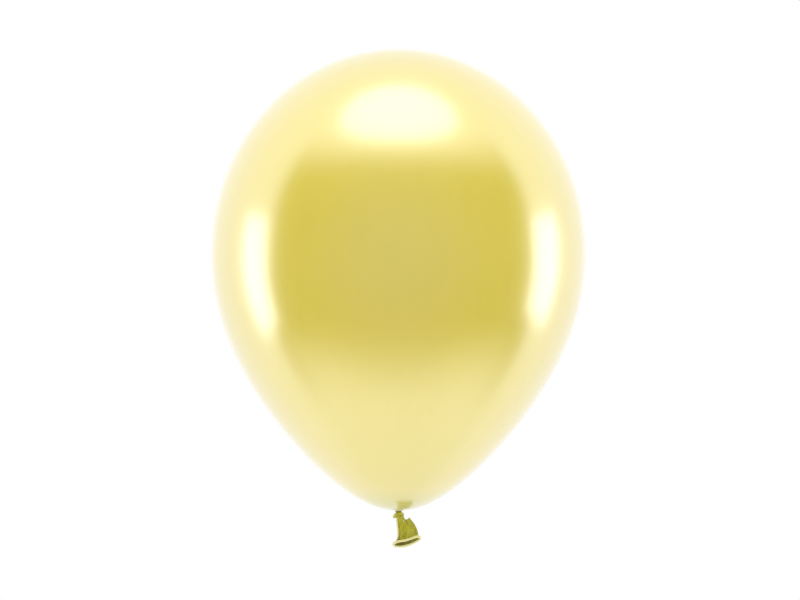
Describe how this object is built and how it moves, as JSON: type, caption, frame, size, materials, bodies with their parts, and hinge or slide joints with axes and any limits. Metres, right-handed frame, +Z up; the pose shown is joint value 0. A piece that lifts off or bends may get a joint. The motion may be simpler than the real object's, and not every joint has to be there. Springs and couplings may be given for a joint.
{
  "type": "latex balloon",
  "caption": "Inflated party balloon of pearly gold latex with a tied neck, a knot and an open flared tail with a rolled lip.",
  "frame": {"origin": "middle of the neck where it leaves the inflated skin, between the skin and the knot", "axes": "+Z runs up the balloon's axis from the neck to its top, -Y is the front, which the tail's mouth leans towards, and +X is to the right seen from the front"},
  "size_m": [0.2999, 0.3, 0.4002],
  "materials": {
    "pearl_skin": "stretched pearlescent latex, light gold, glossy with soft broad highlights",
    "thick_film": "less stretched pearlescent latex, deeper yellow gold, satin",
    "slack_film": "unstretched pearlescent latex, olive gold, satin with pleats",
    "lip_bead": "rolled pearlescent latex bead, pale olive gold, glossy"
  },
  "bodies": {
    "balloon": {"envelope": "pearl_skin", "neck_cone": "thick_film"},
    "neck": {"neck_stem": "slack_film"},
    "knot": {"knot_loop": "slack_film", "knot_tuck": "slack_film"},
    "tail": {"tail_skirt": "slack_film", "rolled_lip": "lip_bead"}
  },
  "joints": [
    {"name": "neck_twist", "type": "hinge", "parent": "balloon", "child": "neck", "pos_m": [0, 0, 0], "axis": [0, 0, 1], "range_deg": [-90, 90], "stiffness_Nm_per_rad": 0.0004},
    {"name": "knot_swing", "type": "hinge", "parent": "neck", "child": "knot", "pos_m": [0, 0, -0.002], "axis": [0, 1, 0], "range_deg": [-20, 20], "stiffness_Nm_per_rad": 0.0006},
    {"name": "tail_nod", "type": "hinge", "parent": "knot", "child": "tail", "pos_m": [0, 0, -0.007], "axis": [1, 0, 0], "range_deg": [-40, 50], "stiffness_Nm_per_rad": 0.0003}
  ]
}
